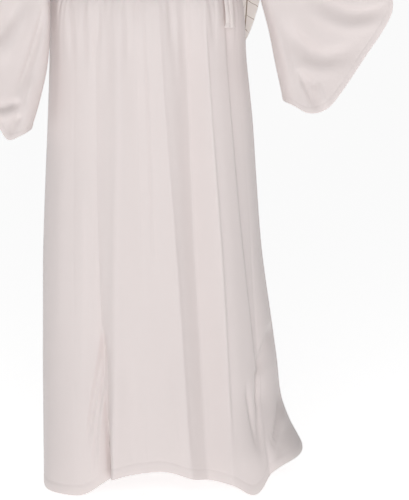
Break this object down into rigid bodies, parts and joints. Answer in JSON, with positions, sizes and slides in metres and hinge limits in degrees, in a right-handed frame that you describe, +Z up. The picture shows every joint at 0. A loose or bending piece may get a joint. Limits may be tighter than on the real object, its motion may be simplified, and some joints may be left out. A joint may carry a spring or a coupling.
{
  "type": "angel costume robe with wings",
  "caption": "Floor-length robe with wide bell sleeves, tied at the waist with a sash, and two feather-printed cloth wings sewn to its back; hollow, in its worn form.",
  "frame": {"origin": "between the shoulders at the base of the neck, where the wearer carries the robe, 1.44 m above the floor", "axes": "+Z up, the front faces -Y, +X towards the wearer's left"},
  "size_m": [0.9243, 0.4009, 1.5028],
  "materials": {
    "robe": "smooth, softly draping warm-white polyester with a slight sheen",
    "sash": "the robe's warm-white cloth, folded double",
    "wing": "matt cream cloth printed with thin brown feather lines"
  },
  "bodies": {
    "root": {"skirt_front": "robe", "skirt_back": "robe", "bodice_front": "robe", "bodice_back": "robe", "sleeve_left_front": "robe", "sleeve_left_back": "robe", "sleeve_right_front": "robe", "sleeve_right_back": "robe", "waist_sash": "sash", "sash_knot": "sash", "sash_tail_long": "sash", "sash_tail_short": "sash", "wing_root": "wing", "wing_left": "wing", "wing_right": "wing"}
  },
  "joints": []
}
